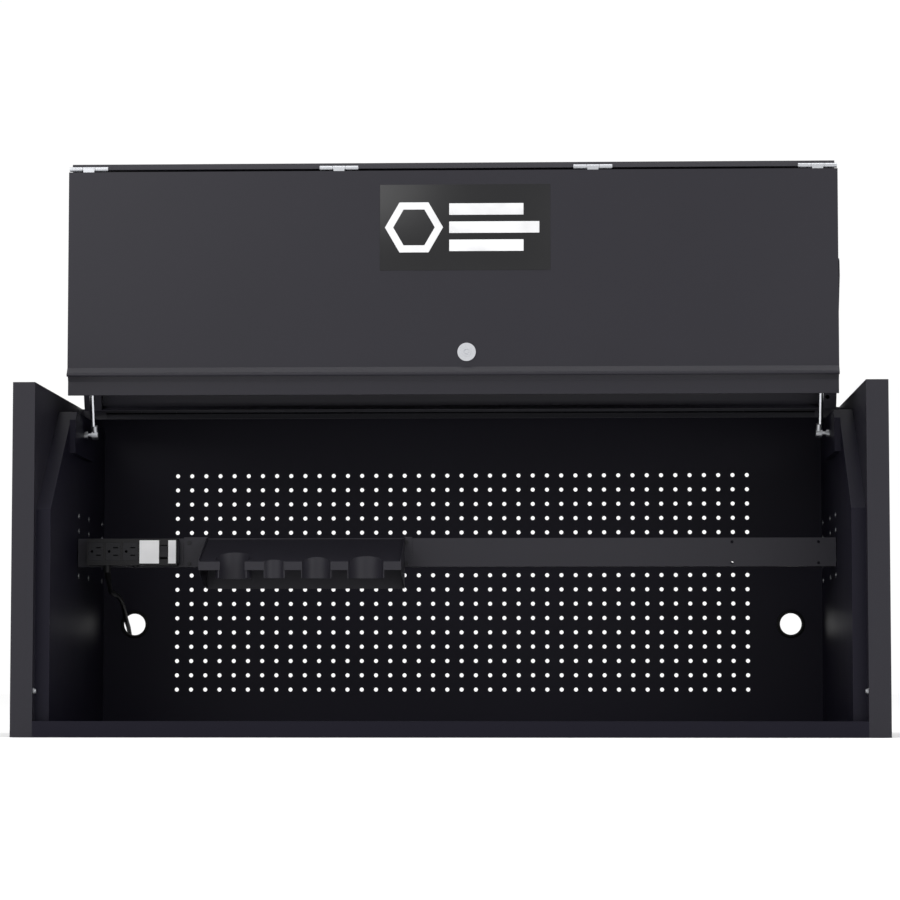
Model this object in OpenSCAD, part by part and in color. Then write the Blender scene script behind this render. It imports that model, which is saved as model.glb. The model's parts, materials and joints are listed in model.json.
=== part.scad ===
// Tool hutch: an open steel cabinet with a pegboard back that stands on a roller cabinet.
// Its lid is in two sections. Two gas springs hold the top section up, and the front section hangs
// from it. A tool bar across the inside carries a power strip and a holder for power tools.
// Millimetres, +Z up, front towards -Y. The origin is the centre of the underside.

/* [Body] */
// Overall width
body_w = 1397; // [1380:1:1410]
// Overall depth
body_d = 635; // [634:1:636]
// Overall height of the body
body_h = 567; // [566:1:568]
// Width of each side panel, which is the width of its front pillar
side_w = 35.5; // [34:0.5:37]
// Width of the liner inside each side panel
liner_w = 23; // [22:0.5:24]
// Thickness of the sheet steel
sheet = 1.5; // [1.2:0.1:1.6]
// Height of the floor's front lip
lip_h = 25.5; // [22:0.5:26]
// Depth at which the liner's front strip stands behind the pillars
strip_d = 24; // [22:1:26]
// Height at which the liner's front edge begins to slope back
knee_h = 364; // [360:1:366]
// Height of the liner's flat top
liner_h = 540; // [538:1:541]

/* [Pegboard] */
// Hole spacing, across and up
peg_pitch = 25.4; // [25:0.1:26]
// Number of columns of holes
peg_cols = 41; // [11:2:41]
// Number of rows of holes
peg_rows = 16; // [4:1:16]
// Diameter of a hole
peg_hole = 7.2; // [6:0.1:8]
// Height of the lowest row
peg_z = 75; // [70:1:80]
// Distance of each cord hole from the middle
cord_hole_x = 584; // [580:1:588]
// Height of the cord holes
cord_hole_z = 191; // [188:1:194]
// Diameter of the opening in a cord grommet
grommet_bore = 38; // [34:1:40]

/* [Lid] */
// Angle from closed to open
lid_open = 66; // [62:1:66]
// Depth of the rear hinge axis
hinge_d = 507; // [506:1:508]
// Height of the rear hinge axis
hinge_z = 562; // [561:0.5:562]
// Depth of the front hinge axis with the lid closed
fold_d = 20; // [19:1:22]
// Height of the front hinge axis with the lid closed
fold_z = 380; // [379:1:382]
// Slope of the lid's middle panel with the lid closed
slope_angle = 38.5; // [38:0.5:39]
// Half of the width of the lid's top panel
top_half = 656; // [650:1:658]
// Half of the width of the lid's sloping panel
slope_half = 628.5; // [626:0.5:629]

/* [Front panel] */
// Half of the width of the front panel
door_half = 632.5; // [630:0.5:634]
// Height of the front panel, from its hinge axis down
door_h = 374.5; // [370:0.5:375]
// Distance of the pull below the hinge axis
pull_z = 342; // [338:1:343]
// Distance of the lock from the middle, to the right
lock_x = 24.5; // [20:0.5:30]
// Distance of the lock below the hinge axis
lock_z = 306; // [304:1:308]

/* [Tool bar] */
// Depth of the bar's front face
bar_d = 314; // [312:1:316]
// Height of the bar's lower edge
bar_z = 282; // [280:1:284]
// Height of the bar
bar_h = 48; // [46:1:50]

/* [Gas springs] */
// Distance of each spring from the middle
spring_x = 615; // [614:0.5:616]
// Diameter of the tube
spring_tube = 18; // [16:1:18]
// Diameter of the rod
spring_rod = 8; // [7:1:8]

/* [Hidden] */
$fn = 48;

// Colours
paint = "#3c3b40";
liner_paint = "#2f2e36";
bar_paint = "#45444c";
zinc = "#c8cacc";
black = "#17171a";
label_white = "#f2f2f2";

// Half of the width between the side panels
inner_half = body_w / 2 - side_w;
// Half of the width between the liners
bay_half = inner_half - liner_w;
// Depth of the back panel's front face, which is set in from the rear edge
back_d = body_d - 6.5;
// Small overlap that makes cuts and unions clean
eps = 0.1;

// Depth behind the front at which the liner's slope reaches its flat top
crest_d = strip_d + (liner_h - knee_h) / tan(slope_angle);
// Space between the axes of the rear and front hinges, and where opening takes the front one
fold_open_d = hinge_d + (fold_d - hinge_d) * cos(lid_open) + (fold_z - hinge_z) * sin(lid_open);
fold_open_z = hinge_z - (fold_d - hinge_d) * sin(lid_open) + (fold_z - hinge_z) * cos(lid_open);

// The lid's sheet: height of the sloping panel above the front hinge axis, and depth of its pan
skin_v = 13;
pan_v = -11;
// Length along the slope at which the top panel begins
fold_u = (body_h - fold_z - skin_v * cos(slope_angle)) / sin(slope_angle);
top_front_d = fold_d + fold_u * cos(slope_angle) - skin_v * sin(slope_angle);
top_rear_d = hinge_d - 7.5;
top_depth = 22;
// Hinge barrels and pins
barrel_r = 4;
pin_r = 2;
pin_gap = 0.06;
rear_barrel_r = 4.5;
rear_pin_r = 2.5;
rear_half = 620;
rear_knuckles = 20;
door_hinges = [-600, -186, 232, 600];
door_hinge_l = 64;

// Front panel: front face and back face, measured back from the hinge axis
door_front = -5.5;
door_back = 9;
pull_drop = pull_z + 8;

// Gas springs: ball positions in the closed lid's frame and on the body
stud_top = [75, 412];
stud_low = [320, 506];
stud_open = [
    hinge_d + (stud_top[0] - hinge_d) * cos(lid_open) + (stud_top[1] - hinge_z) * sin(lid_open),
    hinge_z - (stud_top[0] - hinge_d) * sin(lid_open) + (stud_top[1] - hinge_z) * cos(lid_open)
];
spring_run = [stud_low[0] - stud_open[0], stud_low[1] - stud_open[1]];
spring_len = norm(spring_run);
spring_lean = atan2(spring_run[0], -spring_run[1]);
gusset_x = 630;
socket_r = 7.5;

// Power strip
strip_x0 = -620;
strip_x1 = -468;
strip_z0 = 284;
strip_z1 = 328.5;
strip_front = bar_d - 24;
outlet_pitch = 29;
outlet_x0 = -605.5;

// Tool holder: its slots as [centre, hole diameter, width of the mouth, depth of the centre]
holder_x0 = -419;
holder_x1 = -87;
holder_slots = [
    [-364.5, 58, 40, 210.5], [-295, 37, 33, 182], [-225.4, 47, 29.4, 190], [-143.6, 58, 40, 189]
];
holder_top = 328;
holder_foot = 245;
holder_lip_d = 190;
holder_lip_z = 286;
holder_lip_h = 14;
shelf_angle = atan2(holder_top - holder_lip_z, bar_d - sheet - holder_lip_d);
sleeve_z = 259;

// Power cord
cord_d = 8;
cord_sides = 8;
cord_rise = 2;
coil_x = -470;
coil_y = 396;
coil_mid_r = 48;
coil_turns_r = 8.4;
coil_h = 18.8;
// Route from the strip, through the left grommet, down behind the back and to the coil
cord_path = [
    [-587, -15.5, 271.5], [-587, -5, 261], [-587, 8, 251], [-588, 25, 243.5], [-588, 48, 240],
    [-589, 85, 239], [-590, 130, 237.5], [-591, 178, 232], [-593, 222, 222.5], [-595, 260, 209],
    [-596, 290, 197], [-596, 314, 187], [-596, 332, 175], [-595, 344, 158], [-593, 350, 136],
    [-591, 352, 110], [-589, 355, 82], [-585, 361, 56], [-577, 371, 33], [-565, 384, 17],
    [-552, 401, 8], [-539, 417, 4.3], [-524, 432, 4.3], [-508, 442, 5], [-492, 447, 5.8]
];

// Puts children given as [x, depth behind the front, height] in the part's frame
module in_body() {
    translate([0, -body_d / 2, 0])
        children();
}

// Mirrors children drawn on the right to the left
module on_side(side) {
    mirror([side > 0 ? 0 : 1, 0, 0])
        children();
}

// The open lid: children are drawn with the lid closed
module lid_frame() {
    in_body()
        translate([0, hinge_d, hinge_z])
            rotate([-lid_open, 0, 0])
                translate([0, -hinge_d, -hinge_z])
                    children();
}

// The sloping panel: x across, y up along the slope, z outward, from the front hinge axis
module slope_frame() {
    lid_frame()
        translate([0, fold_d, fold_z])
            rotate([slope_angle, 0, 0])
                children();
}

// The front panel, hanging: y back and z up, from the front hinge axis
module door_frame() {
    in_body()
        translate([0, fold_open_d, fold_open_z])
            children();
}

// A cylinder that runs along x from x0 to x1
module rod_x(r, x0, x1) {
    translate([x0, 0, 0])
        rotate([0, 90, 0])
            cylinder(r = r, h = x1 - x0);
}

// A cylinder that runs back along y from y0 to y1
module rod_y(r, y0, y1) {
    translate([0, y0, 0])
        rotate([-90, 0, 0])
            cylinder(r = r, h = y1 - y0);
}

// Extrudes an outline given in depth and height along x, from x0 to x1
module across(x0, x1) {
    translate([x0, 0, 0])
        rotate([90, 0, 90])
            linear_extrude(x1 - x0)
                children();
}

// A box between two corners
module box(low, high) {
    translate(low)
        cube(high - low);
}

// Side panel: a box of sheet steel, open underneath, whose front is the pillar
module side_panel(side) {
    color(paint)
        in_body()
            on_side(side)
                difference() {
                    box([inner_half, 0, 0], [body_w / 2, body_d, body_h]);
                    box(
                        [inner_half + sheet, sheet, -eps],
                        [body_w / 2 - sheet, body_d - sheet, body_h - sheet]
                    );
                }
}

// Outline of the liner, grown inwards by a margin
module liner_outline(margin) {
    slope_in = margin * tan((90 - slope_angle) / 2);
    polygon([
        [strip_d + margin, sheet + margin],
        [strip_d + margin, knee_h - slope_in],
        [crest_d + margin * tan(slope_angle / 2), liner_h - margin],
        [back_d - margin, liner_h - margin],
        [back_d - margin, sheet + margin]
    ]);
}

// Side liner: a tray that faces the side panel, with a sloped front strip and three columns of holes
module side_liner(side) {
    color(liner_paint)
        in_body()
            on_side(side)
                difference() {
                    across(bay_half, inner_half)
                        liner_outline(0);
                    across(bay_half + sheet, inner_half + eps)
                        liner_outline(sheet);
                    insert_places()
                        rod_x(3.5, bay_half - eps, bay_half + sheet + eps);
                }
}

// Places of the threaded inserts that the tool bar can be fixed to
module insert_places() {
    for (depth = [bar_d + 14, 440, 600])
        for (row = [0 : 4])
            translate([0, depth, bar_z + 10.6 + row * peg_pitch - 25.4])
                children();
}

// Floor pan with its front lip
module floor_pan() {
    color(liner_paint)
        in_body()
            difference() {
                union() {
                    box([-inner_half, 0, 0], [inner_half, back_d, sheet]);
                    box([-inner_half, 0, 0], [inner_half, sheet, lip_h]);
                    box([-inner_half, 0, lip_h - sheet], [inner_half, 11, lip_h]);
                    box([-inner_half, 11 - sheet, lip_h - 8], [inner_half, 11, lip_h]);
                }
                for (x = [-500, 500])
                    for (depth = [117.5, 517.5])
                        translate([x, depth, -eps])
                            cylinder(r = 5, h = sheet + 2 * eps);
            }
}

// Back panel with its grid of peg holes and two cord holes
module back_panel() {
    color(liner_paint)
        in_body()
            difference() {
                box([-inner_half, back_d, 0], [inner_half, back_d + sheet, body_h - sheet]);
                for (col = [0 : peg_cols - 1])
                    for (row = [0 : peg_rows - 1])
                        translate([(col - (peg_cols - 1) / 2) * peg_pitch, 0, peg_z + row * peg_pitch])
                            rod_y(peg_hole / 2, back_d - eps, back_d + sheet + eps);
                for (x = [-cord_hole_x, cord_hole_x])
                    translate([x, 0, cord_hole_z])
                        rod_y(grommet_bore / 2 + 2, back_d - eps, back_d + sheet + eps);
            }
}

// Rear strip of the top, with a flange at its front
module rear_top() {
    color(paint)
        in_body() {
            box([-inner_half, hinge_d + 5.5, body_h - sheet], [inner_half, body_d, body_h]);
            box([-inner_half, hinge_d + 5.5, 549], [inner_half, hinge_d + 5.5 + sheet, body_h]);
        }
}

// Box on the liner that carries the lower end of a gas spring
module spring_gusset(side) {
    color(liner_paint)
        in_body()
            on_side(side)
                difference() {
                    across(gusset_x, bay_half)
                        polygon([[215, 468], [215, 524], [229, 538], [430, 538], [430, 480], [418, 468]]);
                    across(gusset_x + sheet, bay_half + eps)
                        polygon([[217, 470], [217, 523], [230, 536], [428, 536], [428, 481], [417, 470]]);
                }
}

// Rubber grommet in a cord hole
module grommet(side) {
    color(black)
        in_body()
            on_side(side)
                translate([cord_hole_x, 0, cord_hole_z])
                    difference() {
                        union() {
                            rod_y(grommet_bore / 2 + 6, back_d - 3, back_d);
                            rod_y(grommet_bore / 2 + 2, back_d - 1, back_d + sheet + 1);
                            rod_y(grommet_bore / 2 + 6, back_d + sheet, back_d + sheet + 3);
                        }
                        rod_y(grommet_bore / 2, back_d - 4, back_d + sheet + 4);
                    }
}

// Threaded inserts in the liners' holes
module bar_inserts() {
    color(zinc)
        for (side = [-1, 1])
            in_body()
                on_side(side)
                    insert_places()
                        difference() {
                            union() {
                                rod_x(3.5, bay_half - 0.6, bay_half + 7);
                                rod_x(4.6, bay_half - 0.8, bay_half);
                            }
                            rod_x(2.4, bay_half - 1, bay_half + 8);
                        }
}

// Tool bar: a channel with an end tab against each liner and pairs of holes in its face
module tool_bar() {
    color(bar_paint)
        in_body()
            difference() {
                union() {
                    box([1 - bay_half, bar_d, bar_z], [bay_half - 1, bar_d + sheet, bar_z + bar_h]);
                    for (z = [bar_z, bar_z + bar_h - sheet])
                        box([1 - bay_half, bar_d, z], [bay_half - 1, bar_d + 26, z + sheet]);
                    for (side = [-1, 1])
                        on_side(side)
                            box(
                                [bay_half - 1 - sheet, bar_d, bar_z],
                                [bay_half - 1, bar_d + 26, bar_z + bar_h]
                            );
                }
                for (x = [-450, -82, 465, 610])
                    for (z = [bar_z + 5.5, bar_z + 41])
                        translate([x, 0, z])
                            rod_y(2.6, bar_d - eps, bar_d + sheet + eps);
                for (side = [-1, 1])
                    on_side(side)
                        for (row = [1, 2])
                            translate([0, bar_d + 14, bar_z + 10.6 + row * peg_pitch - 25.4])
                                rod_x(2.9, bay_half - 4, bay_half);
            }
}

// Screws that hold the bar's ends to the liners
module bar_screws() {
    color(zinc)
        for (side = [-1, 1])
            in_body()
                on_side(side)
                    for (row = [1, 2])
                        translate([0, bar_d + 14, bar_z + 10.6 + row * peg_pitch - 25.4]) {
                            rod_x(2.3, bay_half - 3, bay_half + 6);
                            rod_x(5, bay_half - 5.4, bay_half - 2.6);
                        }
}

// The inclined shelf's own frame: y down the slope from its top edge, z out of its face
module shelf_frame() {
    translate([0, bar_d - sheet, holder_top])
        rotate([180 + shelf_angle, 0, 0])
            children();
}

// Tool holder: a back plate, an inclined shelf with keyhole slots, a front lip and end plates
module tool_holder() {
    color(bar_paint)
        in_body()
            difference() {
                union() {
                    box([holder_x0, bar_d - sheet, holder_foot], [holder_x1, bar_d, holder_top]);
                    across(holder_x0, holder_x1)
                        polygon([
                            [holder_lip_d, holder_lip_z],
                            [bar_d, holder_top + sheet * 0.4],
                            [bar_d, holder_top - sheet],
                            [holder_lip_d, holder_lip_z - sheet * 1.1]
                        ]);
                    box(
                        [holder_x0, holder_lip_d, holder_lip_z - holder_lip_h],
                        [holder_x1, holder_lip_d + sheet, holder_lip_z]
                    );
                    for (x = [holder_x0 - sheet, holder_x1])
                        across(x, x + sheet)
                            polygon([
                                [bar_d, 332], [bar_d, holder_foot], [bar_d - 40, holder_foot + 5],
                                [holder_lip_d, holder_lip_z - holder_lip_h], [holder_lip_d, holder_lip_z + 3]
                            ]);
                    box([holder_x1, bar_d - sheet, bar_z], [holder_x1 + 14, bar_d, 332]);
                    box([holder_x0 - 40, bar_d - sheet, bar_z], [holder_x0, bar_d, 332]);
                }
                for (slot = holder_slots) {
                    translate([slot[0], slot[3], 268])
                        cylinder(d = slot[1], h = 80);
                    box(
                        [slot[0] - slot[2] / 2, holder_lip_d - 1, 240],
                        [slot[0] + slot[2] / 2, max(slot[3], holder_lip_d + 3), 345]
                    );
                }
                for (x = [-82, -450])
                    for (z = [bar_z + 5.5, bar_z + 41])
                        translate([x, 0, z])
                            rod_y(2.6, bar_d - 2, bar_d + eps);
            }
}

// Sleeves below the shelf's slots, open at the front
module holder_sleeves() {
    color(bar_paint)
        in_body()
            for (slot = holder_slots)
                difference() {
                    translate([slot[0], slot[3], sleeve_z])
                        cylinder(d = slot[1] + 2 * sheet, h = 90);
                    translate([slot[0], slot[3], sleeve_z - 1])
                        cylinder(d = slot[1], h = 92);
                    box([slot[0] - 60, 140, sleeve_z - 1], [slot[0] + 60, holder_lip_d + sheet, 360]);
                    box(
                        [slot[0] - slot[2] / 2, holder_lip_d - 10, sleeve_z - 1],
                        [slot[0] + slot[2] / 2, max(slot[3], holder_lip_d + 3), 360]
                    );
                    shelf_frame()
                        box([slot[0] - 60, -60, -100], [slot[0] + 60, 160, 1.72]);
                }
}

// Screws that hold the tool holder to the bar
module holder_screws() {
    color(zinc)
        in_body()
            for (x = [-82, -450])
                for (z = [bar_z + 5.5, bar_z + 41])
                    translate([x, 0, z]) {
                        rod_y(2.4, bar_d - 2, bar_d + 8);
                        rod_y(3.3, bar_d - sheet - 2.2, bar_d - sheet);
                    }
}

// Centre of the power switch and of the breaker button along the strip
switch_x = -490.5;
breaker_x = -540;
relief_x = -587;
relief_d = 296.5;
relief_lean = 45;
strip_mid_z = (strip_z0 + strip_z1) / 2;

// Housing of the power strip, hollow, with windows for the outlets and the switch
module strip_housing() {
    color("#4a494e")
        in_body()
            difference() {
                box([strip_x0, strip_front, strip_z0], [strip_x1, bar_d, strip_z1]);
                box([strip_x0 + 2, strip_front + 2, strip_z0 + 2], [strip_x1 - 2, bar_d - 2, strip_z1 - 2]);
                for (i = [0 : 2])
                    translate([outlet_x0 + i * outlet_pitch, 0, strip_mid_z + 1])
                        box([-12.5, strip_front - 1, -15.5], [12.5, strip_front + 3, 15.5]);
                box(
                    [switch_x - 6.5, strip_front - 1, strip_mid_z - 12],
                    [switch_x + 6.5, strip_front + 3, strip_mid_z + 12]
                );
                translate([breaker_x, strip_front + 12, strip_z0 - 1])
                    cylinder(r = 5.3, h = 4);
                translate([relief_x, relief_d, strip_z0 - 1])
                    cylinder(r = 6, h = 4);
            }
}

// The outlets' faces: a round earth hole and two slots each
module strip_outlets() {
    color("#55545a")
        in_body()
            for (i = [0 : 2])
                translate([outlet_x0 + i * outlet_pitch, 0, strip_mid_z + 1])
                    difference() {
                        box([-12.3, strip_front + 0.4, -15.3], [12.3, strip_front + 6, 15.3]);
                        translate([-6.5, 0, 0])
                            rod_y(2.4, strip_front - 1, strip_front + 7);
                        for (z = [-6.4, 6.4])
                            box([0.5, strip_front - 1, z - 1], [8.5, strip_front + 7, z + 1]);
                    }
}

// Plain label plates on the strip
module strip_labels() {
    color(label_white)
        in_body()
            for (span = [[-531.5, -498.5], [-483, -470]])
                box([span[0], strip_front - 0.5, strip_z0 + 3], [span[1], strip_front, strip_z1 - 2.5]);
}

// Clip that holds the strip's right end to the bar
module strip_end_clip() {
    color(bar_paint)
        in_body() {
            box([strip_x1, strip_front + 8, strip_z0 + 4], [strip_x1 + sheet, bar_d, strip_z1 - 4]);
            box([strip_x1, bar_d - sheet, strip_z0 + 4], [strip_x1 + 8.5, bar_d, strip_z1 - 4]);
        }
}

// Rocker of the power switch
module power_switch() {
    color(black)
        in_body()
            translate([0, strip_front + 4, strip_mid_z]) {
                rotate([-8, 0, 0])
                    across(switch_x - 6, switch_x + 6)
                        polygon([[-6.4, 9.5], [-4, 0], [-6.4, -9.5], [5, -7], [5, 7]]);
                rod_x(1.5, switch_x - 6.4, switch_x + 6.4);
            }
}

// Reset button of the strip's breaker
module breaker_button() {
    color(black)
        in_body()
            translate([breaker_x, strip_front + 12, strip_z0 - 3]) {
                cylinder(r = 5, h = 7);
                translate([0, 0, 5.5])
                    cylinder(r = 7, h = 2);
            }
}

// Strain relief under the strip, turned back towards the cord hole
module strain_relief() {
    color(black)
        in_body()
            translate([relief_x, relief_d, strip_z0 - 7]) {
                translate([0, 0, -5])
                    cylinder(r = 5.8, h = 14);
                box([-7, -4.4, 9], [7, 7, 10.5]);
                rotate([180 + relief_lean, 0, 0])
                    translate([0, 0, 2])
                        difference() {
                            cylinder(r1 = 5.5, r2 = 5, h = 20);
                            translate([0, 0, 5])
                                cylinder(r = cord_d / 2 + 0.35, h = 20);
                        }
            }
}

// Tab on the floor that the lock's cam turns behind
module lock_keeper() {
    color(zinc)
        in_body() {
            box([lock_x - 20, 30.5, sheet], [lock_x + 20, 30.5 + sheet, 24]);
            box([lock_x - 20, 30.5, sheet], [lock_x + 20, 50, 2 * sheet]);
        }
}

// Ball studs on the gussets: a hexagonal base and a neck
module body_ball_studs() {
    color(zinc)
        for (side = [-1, 1])
            in_body()
                on_side(side)
                    translate([0, stud_low[0], stud_low[1]]) {
                        rod_x(6.5, gusset_x - 5, gusset_x);
                        rod_x(3, spring_x + 3.1, gusset_x);
                    }
}

// Bumpers on the pillars' inner faces
module closing_bumpers() {
    color(zinc)
        for (side = [-1, 1])
            in_body()
                on_side(side)
                    translate([0, 14, 73]) {
                        rod_x(5, inner_half - 2, inner_half);
                        rod_x(3.4, inner_half - 4, inner_half - 2);
                    }
}

// Length of one knuckle of the rear hinge, and the start of a knuckle
rear_pitch = 2 * rear_half / rear_knuckles;

// Every second knuckle of the rear hinge
module rear_barrels(first) {
    for (i = [first : 2 : rear_knuckles - 1])
        translate([0, hinge_d, hinge_z])
            rod_x(rear_barrel_r, i * rear_pitch - rear_half + 0.3, (i + 1) * rear_pitch - rear_half - 0.3);
}

// Bore along the rear hinge
module rear_bore() {
    translate([0, hinge_d, hinge_z])
        rod_x(rear_pin_r + pin_gap, -rear_half - 1, rear_half + 1);
}

// Leaf of the rear hinge on the body
module rear_hinge_body_leaf() {
    color(zinc)
        in_body()
            difference() {
                union() {
                    rear_barrels(0);
                    for (i = [0 : 2 : rear_knuckles - 1])
                        box(
                            [i * rear_pitch - rear_half + 0.3, hinge_d + 3, hinge_z - 4],
                            [(i + 1) * rear_pitch - rear_half - 0.3, hinge_d + 5.5, hinge_z]
                        );
                    box([-rear_half, hinge_d + 4, 550], [rear_half, hinge_d + 5.5, hinge_z - 4]);
                }
                rear_bore();
            }
}

// Leaf of the rear hinge on the lid
module rear_hinge_lid_leaf() {
    color(zinc)
        lid_frame()
            difference() {
                union() {
                    rear_barrels(1);
                    for (i = [1 : 2 : rear_knuckles - 1])
                        box(
                            [i * rear_pitch - rear_half + 0.3, hinge_d - 6, hinge_z - 2],
                            [(i + 1) * rear_pitch - rear_half - 0.3, hinge_d - 3, hinge_z + 2]
                        );
                    box([-rear_half, hinge_d - 6, 549], [rear_half, hinge_d - 6 + 1.2, 563]);
                }
                rear_bore();
            }
}

// Pin of the rear hinge
module rear_hinge_pin() {
    color(zinc)
        in_body()
            translate([0, hinge_d, hinge_z])
                rod_x(rear_pin_r, -rear_half, rear_half);
}

// Points around a ring of the cord at a place, facing along a direction
function ring(place, along) =
    let (
        ahead = along / norm(along),
        side = cross(ahead, abs(ahead[2]) > 0.9 ? [1, 0, 0] : [0, 0, 1]),
        right = side / norm(side),
        up = cross(right, ahead)
    )
    [for (i = [0 : cord_sides - 1])
        let (turn = (i + 0.5) * 360 / cord_sides)
        place + cord_d / 2 * (right * cos(turn) + up * sin(turn))];

// Direction of the route at point i
function heading(path, i) = path[min(i + 1, len(path) - 1)] - path[max(i - 1, 0)];

// Rotates a ring's numbering so that neighbouring rings line up
function nearest(points, start, i = 0, best = 0) =
    i == len(points) ? best
    : nearest(points, start, i + 1, norm(points[i] - start) < norm(points[best] - start) ? i : best);
function aligned(points, start) =
    let (first = nearest(points, start))
    [for (i = [0 : len(points) - 1]) points[(first + i) % len(points)]];
function rings(path, i = 0, last = []) =
    i == len(path) ? []
    : let (
        fresh = ring(path[i], heading(path, i)),
        lined = i == 0 ? fresh : aligned(fresh, last[0])
    )
    concat([lined], rings(path, i + 1, lined));

// A tube swept along a route
module tube(path) {
    loops = rings(path);
    n = cord_sides;
    last = (len(path) - 1) * n;
    polyhedron(
        points = [for (loop = loops) each loop],
        faces = concat(
            [[for (i = [0 : n - 1]) i]],
            [for (k = [0 : len(path) - 2])
                for (i = [0 : n - 1])
                    each [
                        [k * n + i, (k + 1) * n + i, (k + 1) * n + (i + 1) % n],
                        [k * n + i, (k + 1) * n + (i + 1) % n, k * n + (i + 1) % n]
                    ]],
            [[for (i = [0 : n - 1]) last + n - 1 - i]]
        )
    );
}

// The cord from the strip to the coil
module cord_run() {
    color(black)
        tube(cord_path);
}

// Outer shape of the coil that the rest of the cord lies in
module cord_coil() {
    color(black)
        translate([coil_x, coil_y, cord_rise])
            rotate_extrude($fn = 64)
                translate([coil_mid_r - coil_turns_r, 0])
                    square([2 * coil_turns_r, coil_h - cord_rise]);
}

// Strap around the coil
module coil_tie() {
    color("#3a3a3e")
        translate([coil_x - coil_mid_r, coil_y, 0])
            difference() {
                box([-coil_turns_r - 1.4, -5, 0], [coil_turns_r + 1.8, 5, coil_h + 1.4]);
                box([-coil_turns_r, -6, cord_rise], [coil_turns_r + 0.4, 6, coil_h]);
            }
}

// Moulded plug, which lies on the coil
module cord_plug() {
    color(black)
        translate([coil_x + coil_mid_r, coil_y - 16, coil_h + 10.6]) {
            difference() {
                rod_y(10.5, -18, 8);
                box([-12, -20, 8], [12, 10, 12]);
            }
            rod_y(6, 8, 24);
            for (x = [-6.35, 6.35])
                box([x - 0.8, -34, -3.2], [x + 0.8, -18, 3.2]);
            box([-2.3, -36, -8.5], [2.3, -18, -4.5]);
        }
}

// The lid's skin: top panel and sloping panel, each with its side flanges
module lid_skin() {
    color(paint) {
        lid_frame() {
            across(-top_half, top_half)
                polygon([
                    [top_front_d, body_h], [top_rear_d, body_h], [top_rear_d, body_h - top_depth],
                    [top_rear_d - sheet, body_h - top_depth], [top_rear_d - sheet, body_h - sheet],
                    [top_front_d, body_h - sheet]
                ]);
            for (side = [-1, 1])
                on_side(side)
                    across(top_half - sheet, top_half)
                        polygon([
                            [top_front_d, body_h], [top_rear_d, body_h], [top_rear_d, body_h - top_depth],
                            [top_front_d + 24, body_h - top_depth], [top_front_d + 2, body_h - 8]
                        ]);
        }
        slope_frame()
            difference() {
                across(-slope_half, slope_half)
                    polygon([
                        [4, 2], [18, 2], [22, pan_v], [fold_u, pan_v], [fold_u, skin_v], [4, skin_v]
                    ]);
                across(sheet - slope_half, slope_half - sheet)
                    polygon([
                        [4 + sheet, 0], [20, 0], [22, pan_v - 3], [fold_u + 1, pan_v - 3],
                        [fold_u + 1, skin_v - sheet], [4 + sheet, skin_v - sheet]
                    ]);
            }
    }
}

// Rail along each side of the top panel
module lid_rail(side) {
    color(bar_paint)
        lid_frame()
            on_side(side)
                difference() {
                    box([626, 254, 545], [top_half - sheet, top_rear_d - sheet, body_h - sheet]);
                    box([626 + sheet, 254 + sheet, 545 + sheet], [top_half, 488, body_h]);
                    translate([640, 478, 540])
                        cylinder(r = 4, h = 12);
                }
}

// Stiffener across the top panel
module lid_stiffener() {
    color(bar_paint)
        lid_frame()
            difference() {
                box([-625, 360, 551], [625, 410, body_h - sheet]);
                box([-626, 360 + sheet, 551 + sheet], [626, 410 - sheet, body_h]);
            }
}

// A door hinge's knuckles: pieces first to last of three along the pin
module door_barrel(x, first, last) {
    piece = door_hinge_l / 3;
    rod_x(barrel_r, x - door_hinge_l / 2 + first * piece + 0.3, x - door_hinge_l / 2 + (last + 1) * piece - 0.3);
}

// Leaves of the front hinges on the lid
module door_hinge_lid_leaves() {
    color(zinc)
        slope_frame()
            for (x = door_hinges)
                difference() {
                    union() {
                        for (i = [0, 2]) {
                            door_barrel(x, i, i);
                            translate([x + (i - 1) * door_hinge_l / 3, 0, 0])
                                box([-9, 2.5, 0.3], [9, 7, 1.8]);
                        }
                        box([x - 26.5, 4 + sheet, 0.3], [x + 26.5, 5.5 + sheet, 10]);
                    }
                    rod_x(pin_r + pin_gap, x - 40, x + 40);
                }
}

// Leaves of the front hinges on the front panel
module door_hinge_door_leaves() {
    color(zinc)
        door_frame()
            for (x = door_hinges)
                difference() {
                    union() {
                        door_barrel(x, 1, 1);
                        box([x - 9, -4, -6], [x + 9, -2.5, 0]);
                        box([x - 31, -4, -26], [x + 31, -2.5, -5.4]);
                    }
                    rod_x(pin_r + pin_gap, x - 40, x + 40);
                }
}

// Pins of the front hinges
module door_hinge_pins() {
    color(zinc)
        door_frame()
            for (x = door_hinges)
                rod_x(pin_r, x - door_hinge_l / 2, x + door_hinge_l / 2);
}

// Ball studs on the lid's side flanges
module lid_ball_studs() {
    color(zinc)
        for (side = [-1, 1])
            lid_frame()
                on_side(side)
                    translate([0, stud_top[0], stud_top[1]]) {
                        rod_x(5, slope_half - sheet - 3, slope_half - sheet);
                        rod_x(3, spring_x - 8, slope_half - sheet);
                    }
}

// Skin of the front panel: its face, step and lower flange
module door_skin() {
    step_d = 8;
    color(paint)
        door_frame()
            difference() {
                union() {
                    across(-door_half, door_half)
                        polygon([
                            [door_front, -5.5], [door_front, -pull_z + 8], [door_front + step_d, -pull_drop - 2],
                            [door_front + step_d, -door_h], [door_front + step_d + 6, -door_h],
                            [door_front + step_d + 6, -door_h + sheet],
                            [door_front + step_d + sheet, -door_h + sheet],
                            [door_front + step_d + sheet, -pull_drop - 1],
                            [door_front + sheet, -pull_z + 8.6], [door_front + sheet, -5.5]
                        ]);
                    for (side = [-1, 1])
                        on_side(side)
                            box([door_half - sheet, door_front, -pull_z], [door_half, door_back - sheet, -14]);
                }
                translate([lock_x, 0, -lock_z])
                    rod_y(9.6, door_front - 1, door_front + 3);
            }
}

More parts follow.
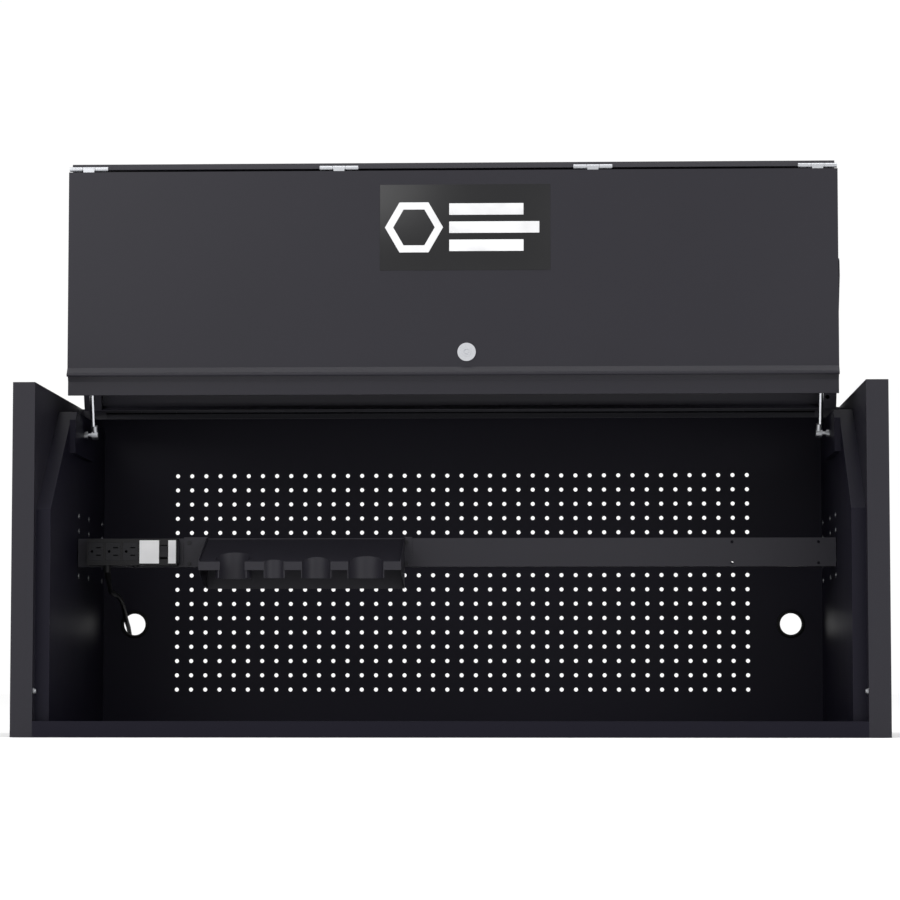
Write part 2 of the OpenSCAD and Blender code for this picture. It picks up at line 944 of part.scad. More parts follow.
// Inner pan of the front panel
module door_inner_pan() {
    color(liner_paint)
        door_frame()
            difference() {
                union() {
                    box([sheet - door_half, door_back - sheet, -door_h + 2], [door_half - sheet, door_back, -14]);
                    box([sheet - door_half, door_front + 2 * sheet, -15.5], [door_half - sheet, door_back, -14]);
                }
                translate([lock_x, 0, -lock_z])
                    rod_y(9.6, door_back - 3, door_back + 1);
                for (x = door_hinges)
                    box([x - 33, door_front, -28], [x + 33, 0, -13]);
            }
}

// Pull strip along the foot of the front panel's face
module door_pull() {
    color(paint)
        door_frame()
            across(-door_half, door_half)
                union() {
                    polygon([
                        [door_front, -pull_z + 12], [door_front - 7, -pull_z + 3],
                        [door_front - 7, -pull_z - 3], [door_front, -pull_z]
                    ]);
                    translate([door_front - 6, -pull_z])
                        circle(r = 3);
                }
}

// Plain badge with a hexagonal ring and bars
module badge() {
    color("#77767c")
        door_frame()
            translate([22, door_front, -100]) {
                difference() {
                    box([-140, -1, -71], [140, 0, 71]);
                    box([-136, -2, -67], [136, -0.6, 67]);
                }
                translate([-84, 0, 0])
                    rotate([90, 0, 0])
                        difference() {
                            cylinder(r = 44, h = 1, $fn = 6);
                            cylinder(r = 33, h = 1, $fn = 6);
                        }
                for (i = [-1 : 1])
                    box([-24, -1, i * 26 - 7], [116 - abs(i) * 24, -0.6, i * 26 + 7]);
            }
}

// Body of the lock, a tube through the front panel with a trim ring
module lock_body() {
    color("#d0d2d4")
        door_frame()
            translate([lock_x, 0, -lock_z])
                difference() {
                    union() {
                        rod_y(15, door_front - 2.5, door_front);
                        rod_y(9.5, door_front - 1, door_back + 3.8);
                    }
                    rod_y(7.6, door_front - 4, door_back + 5);
                }
}

// Nut that clamps the lock's body to the inner pan
module lock_nut() {
    color(zinc)
        door_frame()
            translate([lock_x, 0, -lock_z])
                difference() {
                    translate([0, door_back, 0])
                        rotate([-90, 30, 0])
                            cylinder(r = 14, h = 3.6, $fn = 6);
                    rod_y(9.55, door_back - 1, door_back + 5);
                }
}

// Turning plug of the lock, with its round keyway
module lock_plug() {
    color("#d0d2d4")
        door_frame()
            translate([lock_x, 0, -lock_z])
                difference() {
                    rod_y(7.5, door_front - 3.4, door_back + 7.5);
                    difference() {
                        rod_y(5, door_front - 4, door_front + 4);
                        rod_y(3, door_front - 5, door_front + 5);
                    }
                }
}

// Cam on the rear of the plug, turned aside when the lock is open
module lock_cam() {
    color(zinc)
        door_frame()
            translate([lock_x, door_back + 4.5, -lock_z])
                difference() {
                    union() {
                        rod_y(9, 0, 2);
                        box([0, 0, -7], [58, 2, 7]);
                    }
                    rod_y(7.5, -1, 3);
                }
}

// A gas spring's own frame: z from its upper ball towards the lower one
module spring_frame(side) {
    in_body()
        translate([side * spring_x, stud_open[0], stud_open[1]])
            rotate([spring_lean + 180, 0, 0])
                children();
}

// Lengths along the spring, from its upper ball
neck_l = 20;
tube_l = 198;

// Tube of a gas spring, closed at the top and bored for its rod
module spring_body(side) {
    color(black)
        spring_frame(side)
            difference() {
                union() {
                    translate([0, 0, neck_l])
                        cylinder(r = spring_tube / 2, h = tube_l);
                    translate([0, 0, 10])
                        cylinder(r = 4, h = 12);
                }
                translate([0, 0, neck_l + 10])
                    cylinder(r = spring_tube / 2 - 1.5, h = tube_l - 16);
                translate([0, 0, neck_l + tube_l - 8])
                    cylinder(r = spring_rod / 2 + 0.05, h = 9);
            }
}

// Rod of a gas spring with its piston
module spring_shaft(side) {
    color("#d0d2d4")
        spring_frame(side) {
            translate([0, 0, neck_l + tube_l - 22])
                cylinder(r = spring_rod / 2, h = spring_len - 8 - neck_l - tube_l + 22);
            translate([0, 0, neck_l + tube_l - 22])
                cylinder(r = spring_tube / 2 - 1.8, h = 10);
        }
}

// Socket at the upper end of a gas spring
module upper_socket(side) {
    color(zinc)
        spring_frame(side)
            difference() {
                union() {
                    rod_x(socket_r, -5.5, 5.5);
                    cylinder(r = 5.5, h = 10);
                }
                rod_x(3.05, -9, 9);
            }
}

// Socket at the lower end, beside its stud
module lower_socket(side) {
    color(zinc)
        spring_frame(side)
            translate([0, 0, spring_len])
                on_side(side)
                    difference() {
                        union() {
                            rod_x(socket_r, -7.5, 2.6);
                            translate([-2, 0, -16])
                                cylinder(r = 5.6, h = 12.6);
                        }
                        translate([0, 0, -30])
                            cylinder(r = spring_rod / 2 + 0.02, h = 22);
                    }
}

side_panel(-1);  // side_panel_left
side_panel(1);  // side_panel_right
side_liner(-1);  // side_liner_left
side_liner(1);  // side_liner_right
floor_pan();
back_panel();
rear_top();
spring_gusset(-1);  // spring_gusset_left
spring_gusset(1);  // spring_gusset_right
grommet(-1);  // grommet_left
grommet(1);  // grommet_right
bar_inserts();
tool_bar();
bar_screws();
tool_holder();
holder_sleeves();
holder_screws();
strip_housing();
strip_outlets();
strip_labels();
strip_end_clip();
power_switch();
breaker_button();
strain_relief();
lock_keeper();
body_ball_studs();
closing_bumpers();
rear_hinge_body_leaf();
rear_hinge_pin();
cord_run();
cord_coil();
coil_tie();
cord_plug();
lid_skin();
lid_rail(-1);  // lid_rail_left
lid_rail(1);  // lid_rail_right
lid_stiffener();
rear_hinge_lid_leaf();
door_hinge_lid_leaves();
lid_ball_studs();
door_skin();
door_inner_pan();
door_pull();
door_hinge_door_leaves();
door_hinge_pins();
badge();
lock_body();
lock_nut();
lock_plug();
lock_cam();
spring_body(-1);  // spring_tube_left
spring_body(1);  // spring_tube_right
spring_shaft(-1);  // spring_rod_left
spring_shaft(1);  // spring_rod_right
upper_socket(-1);  // upper_socket_left
upper_socket(1);  // upper_socket_right
lower_socket(-1);  // lower_socket_left
lower_socket(1);  // lower_socket_right
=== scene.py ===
"""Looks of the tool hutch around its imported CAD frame, in metres, +Z up, front towards -Y."""
import json
import math

import bmesh
import bpy
from mathutils import Matrix, Vector


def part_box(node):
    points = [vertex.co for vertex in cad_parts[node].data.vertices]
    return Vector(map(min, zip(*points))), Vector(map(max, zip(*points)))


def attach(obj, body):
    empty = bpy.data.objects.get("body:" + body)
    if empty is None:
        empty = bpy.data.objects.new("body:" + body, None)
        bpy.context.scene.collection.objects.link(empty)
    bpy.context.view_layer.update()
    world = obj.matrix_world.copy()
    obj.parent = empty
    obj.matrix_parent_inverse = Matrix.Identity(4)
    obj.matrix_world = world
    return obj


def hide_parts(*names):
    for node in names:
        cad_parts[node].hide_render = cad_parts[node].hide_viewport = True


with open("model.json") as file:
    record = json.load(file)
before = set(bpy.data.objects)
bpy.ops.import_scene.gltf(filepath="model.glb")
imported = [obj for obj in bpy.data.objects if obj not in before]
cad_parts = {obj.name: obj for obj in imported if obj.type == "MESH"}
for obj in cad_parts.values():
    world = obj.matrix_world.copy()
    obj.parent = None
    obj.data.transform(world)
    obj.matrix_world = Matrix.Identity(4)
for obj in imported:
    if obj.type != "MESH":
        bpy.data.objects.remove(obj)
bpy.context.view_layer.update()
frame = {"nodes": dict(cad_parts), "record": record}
nodes = frame["nodes"]
BODY = "hutch_body"

# ---------------------------------------------------------------- camera
# Found by matching the body's corners, the peg holes and the front panel's edges
CAMERA_AT = (0.1891, -5.4583, 0.0799)
CAMERA_AIM = (-0.03623, 0.99668, 0.07291)
LENS_MM = 129.58
SENSOR_MM = 36


def make_camera():
    data = bpy.data.cameras.new("camera")
    data.lens = LENS_MM
    data.sensor_width = SENSOR_MM
    data.clip_end = 60
    camera = bpy.data.objects.new("camera", data)
    camera.location = CAMERA_AT
    camera.rotation_euler = Vector(CAMERA_AIM).to_track_quat("-Z", "Y").to_euler()
    bpy.context.collection.objects.link(camera)
    bpy.context.scene.camera = camera


make_camera()


# ---------------------------------------------------------------- mesh helpers
def new_object(name, bm, material, smooth_angle=35):
    """A mesh object made from bm, shaded smooth except at sharp edges."""
    bmesh.ops.recalc_face_normals(bm, faces=bm.faces)
    for face in bm.faces:
        face.smooth = True
    for edge in bm.edges:
        flat = len(edge.link_faces) != 2 or edge.calc_face_angle(0) > math.radians(smooth_angle)
        edge.smooth = not flat
    mesh = bpy.data.meshes.new(name)
    bm.to_mesh(mesh)
    bm.free()
    mesh.materials.append(material)
    obj = bpy.data.objects.new(name, mesh)
    bpy.context.collection.objects.link(obj)
    return obj


def lathe(bm, outline, place, axis, steps=48):
    """Turns an outline of (distance along the axis, radius) about an axis through place."""
    turn = Vector(axis).to_track_quat("Z", "Y").to_matrix().to_4x4()
    turn = Matrix.Translation(Vector(place)) @ turn
    loops = []
    for along, radius in outline:
        ring = []
        for k in range(steps):
            angle = 2 * math.pi * k / steps
            spot = Vector((radius * math.cos(angle), radius * math.sin(angle), along))
            ring.append(bm.verts.new(turn @ spot))
        loops.append(ring)
    for low, high in zip(loops, loops[1:]):
        for k in range(steps):
            bm.faces.new((low[k], low[(k + 1) % steps], high[(k + 1) % steps], high[k]))
    return loops


def solid_lathe(bm, outline, place, axis, steps=48):
    """A turned solid, closed at both ends."""
    loops = lathe(bm, outline, place, axis, steps)
    bm.faces.new(loops[0])
    bm.faces.new(loops[-1])


def ring_lathe(bm, outline, place, axis, steps=64):
    """A turned ring: the outline is a closed loop."""
    loops = lathe(bm, outline, place, axis, steps)
    first, last = loops[0], loops[-1]
    for k in range(steps):
        bm.faces.new((last[k], last[(k + 1) % steps], first[(k + 1) % steps], first[k]))


def block(bm, low, high, bevel=0.0):
    """A box between two corners, with rounded edges."""
    size = Vector(high) - Vector(low)
    middle = (Vector(high) + Vector(low)) / 2
    place = Matrix.Translation(middle) @ Matrix.Diagonal((*size, 1))
    made = bmesh.ops.create_cube(bm, size=1.0, matrix=place)
    if bevel:
        edges = {edge for vert in made["verts"] for edge in vert.link_edges}
        bmesh.ops.bevel(bm, geom=list(edges), offset=bevel, segments=3, affect="EDGES", profile=0.5)


def bevelled(obj, width, segments=3, angle=40):
    """Rounds a CAD node's sharp edges, as folded or moulded edges are."""
    mod = obj.modifiers.new("edges", "BEVEL")
    mod.width = width
    mod.segments = segments
    mod.limit_method = "ANGLE"
    mod.angle_limit = math.radians(angle)


# ---------------------------------------------------------------- materials
def new_material(name):
    """A node material, its tree and its main shader."""
    mat = bpy.data.materials.new(name)
    mat.use_nodes = True
    tree = mat.node_tree
    return mat, tree, tree.nodes["Principled BSDF"]


def noise(tree, scale, detail=2.0, stretch=None):
    """A noise texture in object space, and the socket that carries it."""
    coords = tree.nodes.new("ShaderNodeTexCoord")
    tex = tree.nodes.new("ShaderNodeTexNoise")
    tex.inputs["Scale"].default_value = scale
    tex.inputs["Detail"].default_value = detail
    if stretch:
        mapping = tree.nodes.new("ShaderNodeMapping")
        mapping.inputs["Scale"].default_value = stretch
        tree.links.new(coords.outputs["Object"], mapping.inputs["Vector"])
        tree.links.new(mapping.outputs["Vector"], tex.inputs["Vector"])
    else:
        tree.links.new(coords.outputs["Object"], tex.inputs["Vector"])
    return tex.outputs["Fac"]


# The middle of a noise texture's range, where most of its values lie
NOISE_LOW = 0.3
NOISE_HIGH = 0.7


def spread(tree, fac, low, high):
    """Maps a noise factor to the range low to high."""
    node = tree.nodes.new("ShaderNodeMapRange")
    node.inputs["From Min"].default_value = NOISE_LOW
    node.inputs["From Max"].default_value = NOISE_HIGH
    node.inputs["To Min"].default_value = low
    node.inputs["To Max"].default_value = high
    tree.links.new(fac, node.inputs["Value"])
    return node.outputs["Result"]


def tint(tree, fac, dark, light):
    """Blends two colours by a factor."""
    ramp = tree.nodes.new("ShaderNodeValToRGB")
    ramp.color_ramp.elements[0].position = NOISE_LOW
    ramp.color_ramp.elements[0].color = (*dark, 1)
    ramp.color_ramp.elements[1].position = NOISE_HIGH
    ramp.color_ramp.elements[1].color = (*light, 1)
    tree.links.new(fac, ramp.inputs["Fac"])
    return ramp.outputs["Color"]


def bump(tree, shader, fac, distance, strength):
    """Roughens a shader's surface by a factor."""
    node = tree.nodes.new("ShaderNodeBump")
    node.inputs["Strength"].default_value = strength
    node.inputs["Distance"].default_value = distance
    tree.links.new(fac, node.inputs["Height"])
    tree.links.new(node.outputs["Normal"], shader.inputs["Normal"])


def scaled(colour, factor):
    return tuple(channel * factor for channel in colour)


def shade(tree, fac, colour, darker, lighter):
    """A colour that a noise factor varies between two multiples of itself."""
    return tint(tree, fac, scaled(colour, darker), scaled(colour, lighter))


def powder_coat(name, colour, rough, gloss):
    """Baked paint on sheet steel: a fine orange-peel skin and slow changes of tone."""
    mat, tree, shader = new_material(name)
    slow = noise(tree, 3.2, 3)
    tree.links.new(shade(tree, slow, colour, 0.97, 1.03), shader.inputs["Base Color"])
    fine = noise(tree, 420, 2)
    worn = noise(tree, 9, 2)
    tree.links.new(spread(tree, worn, rough - 0.012, rough + 0.015), shader.inputs["Roughness"])
    bump(tree, shader, fine, 0.00012, 0.25)
    shader.inputs["Specular IOR Level"].default_value = gloss
    return mat


def plated(name, colour, rough, brush=(1, 60, 60), depth=0.00004):
    """Zinc-plated or polished metal with a faint drawn grain."""
    mat, tree, shader = new_material(name)
    shader.inputs["Metallic"].default_value = 1.0
    grain = noise(tree, 260, 3, brush)
    tree.links.new(shade(tree, grain, colour, 0.88, 1.06), shader.inputs["Base Color"])
    tree.links.new(spread(tree, grain, rough - 0.04, rough + 0.08), shader.inputs["Roughness"])
    bump(tree, shader, grain, depth, 0.3)
    return mat


def moulded(name, colour, rough, scale=900, depth=0.00008, gloss=0.3):
    """Moulded plastic or rubber with a fine spark-eroded skin."""
    mat, tree, shader = new_material(name)
    slow = noise(tree, 14, 2)
    tree.links.new(shade(tree, slow, colour, 0.85, 1.15), shader.inputs["Base Color"])
    worn = noise(tree, 40, 2)
    tree.links.new(spread(tree, worn, rough - 0.05, rough + 0.05), shader.inputs["Roughness"])
    bump(tree, shader, noise(tree, scale, 2), depth, 0.35)
    shader.inputs["Specular IOR Level"].default_value = gloss
    return mat


MATERIALS = {
    "outer_paint": powder_coat("outer_paint", (0.0118, 0.0110, 0.0160), 0.40, gloss=0.24),
    "interior_paint": powder_coat("interior_paint", (0.0050, 0.0044, 0.0098), 0.44, gloss=0.11),
    "bar_paint": powder_coat("bar_paint", (0.0170, 0.0162, 0.0215), 0.42, gloss=0.2),
    "strip_paint": powder_coat("strip_paint", (0.0062, 0.0060, 0.0070), 0.42, gloss=0.2),
    "badge_metal": powder_coat("badge_metal", (0.004, 0.004, 0.005), 0.30, gloss=0.3),
    "black_paint": powder_coat("black_paint", (0.004, 0.004, 0.005), 0.30, gloss=0.3),
    "zinc": plated("zinc", (0.42, 0.43, 0.45), 0.34),
    "chrome": plated("chrome", (0.60, 0.61, 0.64), 0.16, (8, 8, 8), 0.00001),
    "black_rubber": moulded("black_rubber", (0.004, 0.004, 0.0045), 0.55, gloss=0.15),
    "black_plastic": moulded("black_plastic", (0.008, 0.008, 0.010), 0.42, gloss=0.2),
    "label_plate": moulded("label_plate", (0.60, 0.60, 0.61), 0.40, 500, 0.00003),
}

for row in frame["record"]["subparts"]:
    node_object = nodes[row["node"]]
    node_object.data.materials.clear()
    node_object.data.materials.append(MATERIALS[row["material_slot"]])

# The long rear hinge is plated black, and so is its pin
BLACK_ZINC = plated("black_zinc", (0.020, 0.020, 0.023), 0.42)
for hinge_node in ("rear_hinge_body_leaf", "rear_hinge_lid_leaf", "rear_hinge_pin"):
    nodes[hinge_node].data.materials[0] = BLACK_ZINC

# Edge rounding of the sheet-metal and machined nodes, in metres
EDGE_WIDTHS = {
    0.0012: ["side_panel_left", "side_panel_right"],
    0.0007: [
        "side_liner_left", "side_liner_right", "floor_pan", "rear_top", "lid_skin", "door_skin",
        "tool_bar", "tool_holder", "spring_gusset_left", "spring_gusset_right", "lid_rail_left",
        "lid_rail_right", "lid_stiffener", "door_inner_pan", "holder_sleeves",
    ],
    0.0004: [
        "strip_housing", "strip_end_clip", "lock_keeper", "lock_body", "lock_nut", "lock_plug",
        "lock_cam", "power_switch", "breaker_button", "body_ball_studs", "lid_ball_studs",
        "strip_labels", "door_pull", "upper_socket_left", "upper_socket_right", "lower_socket_left",
        "lower_socket_right", "spring_tube_left", "spring_tube_right", "strip_outlets",
    ],
}
for width, names in EDGE_WIDTHS.items():
    for node_name in names:
        bevelled(nodes[node_name], width)


# ---------------------------------------------------------------- cord, coil and plug
CORD_D = 0.008
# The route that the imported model's cord takes, in metres
ROUTE = [
    (-0.587, -0.0155, 0.2715), (-0.587, -0.005, 0.261), (-0.587, 0.008, 0.251),
    (-0.588, 0.025, 0.2435), (-0.588, 0.048, 0.240), (-0.589, 0.085, 0.239),
    (-0.590, 0.130, 0.2375), (-0.591, 0.178, 0.232), (-0.593, 0.222, 0.2225),
    (-0.595, 0.260, 0.209), (-0.596, 0.290, 0.197), (-0.596, 0.314, 0.187),
    (-0.596, 0.332, 0.175), (-0.595, 0.344, 0.158), (-0.593, 0.350, 0.136),
    (-0.591, 0.352, 0.110), (-0.589, 0.355, 0.082), (-0.585, 0.361, 0.056),
    (-0.577, 0.371, 0.033), (-0.565, 0.384, 0.017), (-0.552, 0.401, 0.008),
    (-0.539, 0.417, 0.0043), (-0.524, 0.432, 0.0043), (-0.508, 0.442, 0.005),
    (-0.492, 0.447, 0.0058),
]
# The coil: its centre, the radii of its outer and inner turns, and the heights of its two layers
COIL_CENTRE = (-0.470, 0.396)
OUTER_TURN_R = 0.0521
INNER_TURN_R = 0.0439
LAYER_LOW = 0.0064
LAYER_STEP = 0.0082
STEPS_A_TURN = 36
TURNS = 3
# Turns at which the cord moves in, climbs to the second layer and moves out again
MOVE_IN = (0.78, 0.95)
CLIMB = (1.55, 1.78)
MOVE_OUT = (2.35, 2.58)
# Part of a turn past the last, then the part in which the cord climbs to the plug
OVERRUN = 0.04
LEAD_SWEEP = 0.14
LEAD_STEPS = 4
LEAD_CLIMB_END = 1.05

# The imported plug: its axis, the face that carries its pins, and how far the cord goes into it
PLUG_LOW, PLUG_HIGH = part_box("cord_plug")
PLUG_RADIUS = 0.0105
PIN_LENGTH = 0.018
PLUG_X = (PLUG_LOW[0] + PLUG_HIGH[0]) / 2
PLUG_Z = PLUG_LOW[2] + PLUG_RADIUS
PLUG_FACE_Y = PLUG_LOW[1] + PIN_LENGTH
PLUG_REAR_Y = PLUG_HIGH[1]
CORD_IN_PLUG = 0.006


def ease(value, start, end):
    """0 before start, 1 after end, smooth between."""
    t = min(max((value - start) / (end - start), 0), 1)
    return t * t * (3 - 2 * t)


def coil_spot(turn, radius, height):
    """A place in the coil, so many turns clockwise from its rearmost point."""
    angle = math.pi / 2 - 2 * math.pi * turn
    return (
        COIL_CENTRE[0] + radius * math.cos(angle),
        COIL_CENTRE[1] + radius * math.sin(angle),
        height,
    )


def coil_points():
    """Turns outside, then inside, then inside above and outside above."""
    points = []
    for k in range(round((TURNS + OVERRUN) * STEPS_A_TURN) + 1):
        turn = k / STEPS_A_TURN
        inward = ease(turn, *MOVE_IN) - ease(turn, *MOVE_OUT)
        radius = OUTER_TURN_R + (INNER_TURN_R - OUTER_TURN_R) * inward
        points.append(coil_spot(turn, radius, LAYER_LOW + LAYER_STEP * ease(turn, *CLIMB)))
    return points


def smooth_line(points, steps=4):
    """A Catmull-Rom line through the points."""
    line = []
    padded = [points[0]] + list(points) + [points[-1]]
    for k in range(1, len(padded) - 2):
        p0, p1, p2, p3 = (Vector(padded[k + j]) for j in (-1, 0, 1, 2))
        for j in range(steps):
            t = j / steps
            line.append(
                0.5 * (2 * p1 + (p2 - p0) * t + (2 * p0 - 5 * p1 + 4 * p2 - p3) * t ** 2
                       + (3 * p1 - p0 - 3 * p2 + p3) * t ** 3)
            )
    line.append(Vector(points[-1]))
    return line


def cord_line():
    """The route, the coil's turns, and the lead that climbs to the plug's rear."""
    wound = coil_points()
    top = wound[-1][2]
    rear = (PLUG_X, PLUG_REAR_Y - CORD_IN_PLUG, PLUG_Z)
    lead = []
    for k in range(1, LEAD_STEPS + 1):
        t = k / LEAD_STEPS
        height = top + (rear[2] - top) * ease(t, 0, LEAD_CLIMB_END)
        lead.append(coil_spot(OVERRUN + LEAD_SWEEP * t, OUTER_TURN_R, height))
    return smooth_line(ROUTE + wound + lead + [rear])


def make_cord():
    """The power cord as one curve."""
    line = cord_line()
    curve = bpy.data.curves.new("power_cord", "CURVE")
    curve.dimensions = "3D"
    curve.bevel_depth = CORD_D / 2
    curve.bevel_resolution = 5
    curve.use_fill_caps = True
    spline = curve.splines.new("POLY")
    spline.points.add(len(line) - 1)
    for point, spot in zip(spline.points, line):
        point.co = (*spot, 1)
    curve.materials.append(MATERIALS["black_rubber"])
    obj = bpy.data.objects.new("power_cord", curve)
    bpy.context.collection.objects.link(obj)
    return obj


# The plug's outline from its face: distance along its axis, radius
PLUG_OUTLINE = [
    (0.000, 0.0088), (0.0008, 0.0100), (0.003, 0.0104), (0.010, 0.0104), (0.016, 0.0092),
    (0.020, 0.0088), (0.024, 0.0092), (0.0262, 0.0072),
]
RIBS = 4
RIBS_START = 0.0270
RIB_PITCH = 0.0036
RIB_R = 0.0066
RIB_TAPER = 0.0004
RIB_W = 0.0020
RIB_DEPTH = 0.0012
PLUG_END_R = 0.0044
# Flat pins: distance from the middle, half thickness, half width, and how much shorter they are
PIN_OUT = 0.00635
PIN_HALF_T = 0.0008
PIN_HALF_W = 0.0032
PIN_SHORT = 0.002
EARTH_DROP = 0.0065
EARTH_R = 0.0023


def plug_body():
    """The moulded body with its ribbed strain relief."""
    outline = list(PLUG_OUTLINE)
    for k in range(RIBS):
        start = RIBS_START + RIB_PITCH * k
        radius = RIB_R - RIB_TAPER * k
        outline += [
            (start, radius), (start + RIB_W, radius), (start + RIB_W + 0.0004, radius - RIB_DEPTH),
            (start + RIB_PITCH - 0.0002, radius - RIB_DEPTH),
        ]
    outline.append((PLUG_REAR_Y - PLUG_FACE_Y, PLUG_END_R))
    bm = bmesh.new()
    solid_lathe(bm, outline, (PLUG_X, PLUG_FACE_Y, PLUG_Z), (0, 1, 0))
    return new_object("plug_body", bm, MATERIALS["black_rubber"])


def plug_pins():
    """Two flat pins and a round one."""
    bm = bmesh.new()
    for side in (-1, 1):
        x = PLUG_X + side * PIN_OUT
        low = (x - PIN_HALF_T, PLUG_LOW[1] + PIN_SHORT, PLUG_Z - PIN_HALF_W)
        high = (x + PIN_HALF_T, PLUG_FACE_Y + 0.001, PLUG_Z + PIN_HALF_W)
        block(bm, low, high, 0.0003)
    outline = [(0, 0.0012), (0.0012, EARTH_R), (0.019, EARTH_R)]
    solid_lathe(bm, outline, (PLUG_X, PLUG_LOW[1], PLUG_Z - EARTH_DROP), (0, 1, 0), 24)
    return new_object("plug_pins", bm, MATERIALS["zinc"])


def make_plug():
    """A moulded three-pin plug, which lies on the coil."""
    body = plug_body()
    pins = plug_pins()
    pins.parent = body
    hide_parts("cord_plug")
    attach(body, BODY)
    return body


STRAP_T = 0.0012
STRAP_CORNER_R = 0.006
STRAP_EDGE = 0.0005
STRAP_EDGE_INSET = 0.0004
STRAP_CORNER_STEPS = 6


def strap_ring(bm, y, half, middle, inset):
    """One loop around the strap, with rounded corners."""
    ring = []
    for corner_x, corner_z, start in ((1, 1, 0), (-1, 1, 90), (-1, -1, 180), (1, -1, 270)):
        for k in range(STRAP_CORNER_STEPS):
            angle = math.radians(start + 90 / (STRAP_CORNER_STEPS - 1) * k)
            radius = STRAP_CORNER_R - inset
            x = middle.x + corner_x * (half.x - STRAP_CORNER_R) + radius * math.cos(angle)
            z = middle.z + corner_z * (half.z - STRAP_CORNER_R) + radius * math.sin(angle)
            ring.append(bm.verts.new((x, y, z)))
    return ring


def inner_ring(bm, outer, y, middle):
    """The loop inside an outer one, a strap's thickness closer to the middle."""
    ring = []
    centre = Vector((middle.x, 0, middle.z))
    for vert in outer:
        way = Vector((vert.co.x, 0, vert.co.z)) - centre
        spot = centre + way * (1 - STRAP_T / way.length)
        ring.append(bm.verts.new((spot.x, y, spot.z)))
    return ring


def make_tie():
    """A hook-and-loop strap around the coil."""
    low, high = (Vector(corner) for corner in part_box("coil_tie"))
    half = (high - low) / 2
    middle = (high + low) / 2
    bm = bmesh.new()
    rings = [
        strap_ring(bm, low.y, half, middle, STRAP_EDGE_INSET),
        strap_ring(bm, low.y + STRAP_EDGE, half, middle, 0),
        strap_ring(bm, high.y - STRAP_EDGE, half, middle, 0),
        strap_ring(bm, high.y, half, middle, STRAP_EDGE_INSET),
    ]
    rings += [inner_ring(bm, rings[0], y, middle) for y in (high.y, low.y)]
    count = len(rings[0])
    for a, b in zip(rings, rings[1:] + rings[:1]):
        for k in range(count):
            bm.faces.new((a[k], a[(k + 1) % count], b[(k + 1) % count], b[k]))
    strap = new_object("coil_strap", bm, MATERIALS["black_plastic"])
    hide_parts("coil_tie")
    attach(strap, BODY)
    return strap


cord = make_cord()
plug = make_plug()
tie = make_tie()
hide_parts("cord_run", "cord_coil")
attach(cord, BODY)


# ---------------------------------------------------------------- grommets
GROMMET_BORE_R = 0.019
RIM_DEPTH = 0.0030
RIM_ROUND = 0.0029
RIM_STEPS = 12


def make_grommet(name):
    """A rubber grommet with a rolled rim on each face of the back panel."""
    low, high = (Vector(corner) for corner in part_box(name))
    centre = (low + high) / 2
    depth = high.y - low.y
    roll = (high.x - low.x) / 2 - GROMMET_BORE_R
    middle = GROMMET_BORE_R + roll / 2
    front = []
    rear = []
    for k in range(RIM_STEPS + 1):
        angle = math.pi * k / RIM_STEPS
        out = RIM_ROUND * math.sin(angle)
        across = roll / 2 * math.cos(angle)
        front.append((RIM_DEPTH - out, middle - across))
        rear.append((depth - RIM_DEPTH + out, middle + across))
    bm = bmesh.new()
    ring_lathe(bm, front + rear, (centre.x, low.y, centre.z), (0, 1, 0))
    ring = new_object(name + "_rim", bm, MATERIALS["black_rubber"])
    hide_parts(name)
    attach(ring, BODY)


for grommet_node in ("grommet_left", "grommet_right"):
    make_grommet(grommet_node)


# ---------------------------------------------------------------- badge
MARK_T = 0.0006
PLATE_BACK = 0.0004
EDGE_R = 0.0002
# The ring: distance left of the middle, and (0 at the back or 1 at the front, radius) around it
RING_LEFT = 0.084
RING_OUTLINE = ((0, 0.048), (1, 0.0475), (1, 0.0345), (0, 0.034))
# The bars: left end, right end of the middle bar, how much shorter the others are, height and pitch
BAR_LEFT = 0.026
BAR_RIGHT = 0.122
BAR_STEP = 0.026
BAR_HALF_H = 0.0095
BAR_PITCH = 0.030


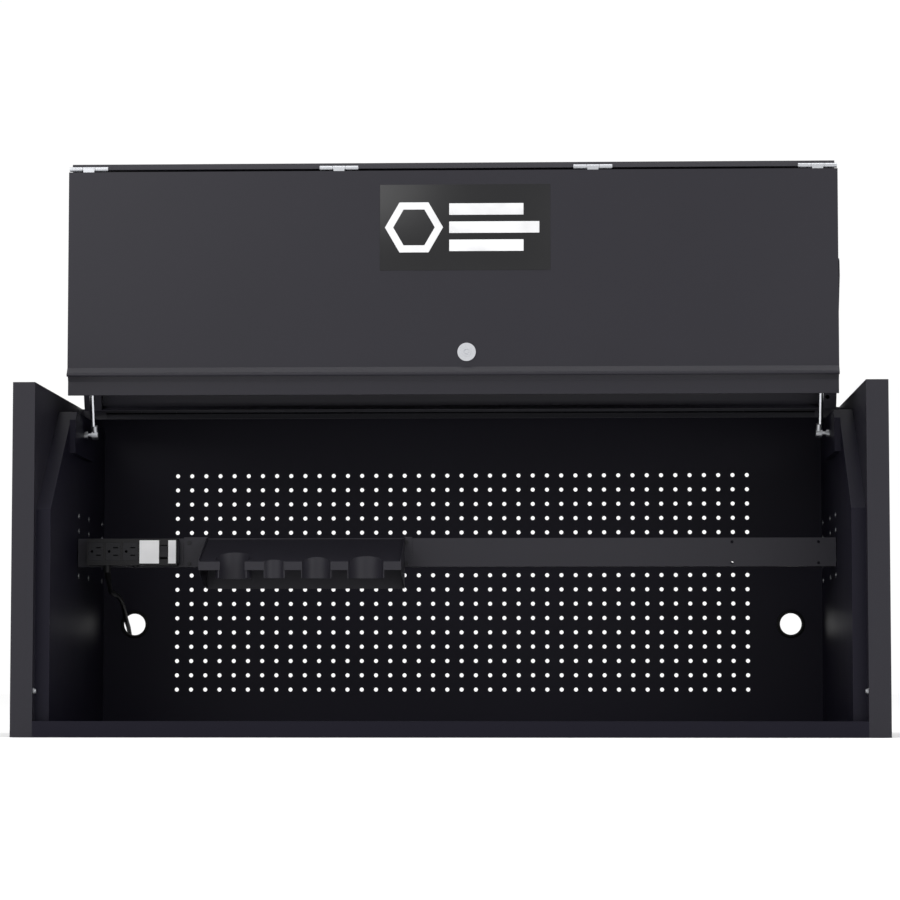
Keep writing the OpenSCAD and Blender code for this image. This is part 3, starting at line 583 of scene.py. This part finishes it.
def make_badge():
    """A dark plate that carries a light hexagonal ring and three bars."""
    low, high = (Vector(corner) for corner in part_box("badge"))
    middle = (low + high) / 2
    bm = bmesh.new()
    block(bm, (low.x, low.y + PLATE_BACK, low.z), high, EDGE_R)
    plate = new_object("badge_plate", bm, MATERIALS["badge_metal"])
    bm = bmesh.new()
    front, back = low.y, low.y + MARK_T
    rings = []
    for at_front, radius in RING_OUTLINE:
        ring = []
        for k in range(6):
            angle = math.radians(60 * k)
            x = middle.x - RING_LEFT + radius * math.cos(angle)
            ring.append(bm.verts.new((x, front if at_front else back, middle.z + radius * math.sin(angle))))
        rings.append(ring)
    for a, b in zip(rings, rings[1:] + rings[:1]):
        for k in range(6):
            bm.faces.new((a[k], a[(k + 1) % 6], b[(k + 1) % 6], b[k]))
    for i in (-1, 0, 1):
        end = middle.x + BAR_RIGHT - abs(i) * BAR_STEP
        z = middle.z + i * BAR_PITCH
        block(bm, (middle.x - BAR_LEFT, front, z - BAR_HALF_H), (end, back, z + BAR_HALF_H), EDGE_R)
    mark = new_object("badge_mark", bm, MATERIALS["label_plate"])
    mark.parent = plate
    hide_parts("badge")
    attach(plate, "front_panel")


make_badge()


# ---------------------------------------------------------------- stage and light
def make_stage():
    """A pale floor, and soft studio light."""
    bm = bmesh.new()
    bmesh.ops.create_grid(bm, x_segments=1, y_segments=1, size=30)
    mat, tree, shader = new_material("studio_floor")
    shader.inputs["Base Color"].default_value = (0.96, 0.96, 0.96, 1)
    shader.inputs["Roughness"].default_value = 1.0
    shader.inputs["Specular IOR Level"].default_value = 0.0
    floor = new_object("studio_floor", bm, mat)
    floor.location.z = -0.0005
    world = bpy.data.worlds.new("studio")
    world.use_nodes = True
    world.node_tree.nodes["Background"].inputs["Color"].default_value = (1, 1, 1, 1)
    world.node_tree.nodes["Background"].inputs["Strength"].default_value = 1.02
    bpy.context.scene.world = world
    bpy.context.scene.view_settings.view_transform = "Standard"


def area_light(name, place, target, size, power):
    """A soft rectangular light that faces a target."""
    data = bpy.data.lights.new(name, "AREA")
    data.shape = "RECTANGLE"
    data.size, data.size_y = size
    data.energy = power
    light = bpy.data.objects.new(name, data)
    light.location = place
    aim = Vector(target) - Vector(place)
    light.rotation_euler = aim.to_track_quat("-Z", "Y").to_euler()
    bpy.context.collection.objects.link(light)


make_stage()
area_light("key", (-2.2, -4.2, 2.6), (0, 0, 0.4), (2.6, 2.0), 70)
area_light("fill", (2.8, -3.6, 1.6), (0, 0, 0.4), (2.2, 2.2), 40)
area_light("top", (0, -0.4, 3.4), (0, 0, 0.3), (3.0, 1.6), 40)
